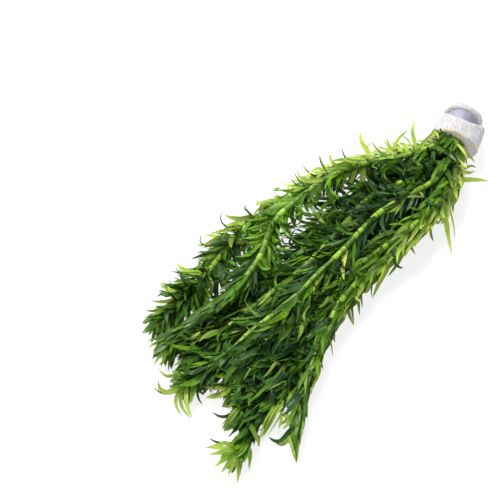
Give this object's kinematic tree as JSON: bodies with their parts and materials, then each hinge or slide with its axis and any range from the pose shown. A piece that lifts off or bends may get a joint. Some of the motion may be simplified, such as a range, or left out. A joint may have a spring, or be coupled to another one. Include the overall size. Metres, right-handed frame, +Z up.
{
  "type": "bunch of brazilian waterweed",
  "caption": "Bunch of leafy green pond-weed shoots lying down, held at the cut ends by a wound foam strip with a soft lead strip pressed round its waist.",
  "frame": {"origin": "on the flattened underside of the foam wrap's front lip, straight below the wrap's axis, on the surface that the bunch lies on", "axes": "+Z up from that surface; the wrap's axis runs along Y, with the cut ends towards +Y and the growing tips towards -Y"},
  "size_m": [0.1157, 0.2061, 0.0274],
  "materials": {
    "waterweed_green": "wet, slightly glossy leaves and stems",
    "white_foam": "matt, fine open cells",
    "soft_lead": null
  },
  "bodies": {
    "root": {"shoot_01": "waterweed_green", "shoot_02": "waterweed_green", "shoot_03": "waterweed_green", "shoot_04": "waterweed_green", "shoot_05": "waterweed_green", "shoot_06": "waterweed_green", "shoot_07": "waterweed_green", "shoot_08": "waterweed_green", "shoot_09": "waterweed_green", "shoot_10": "waterweed_green", "foam_wrap": "white_foam", "lead_strip": "soft_lead"}
  },
  "joints": []
}
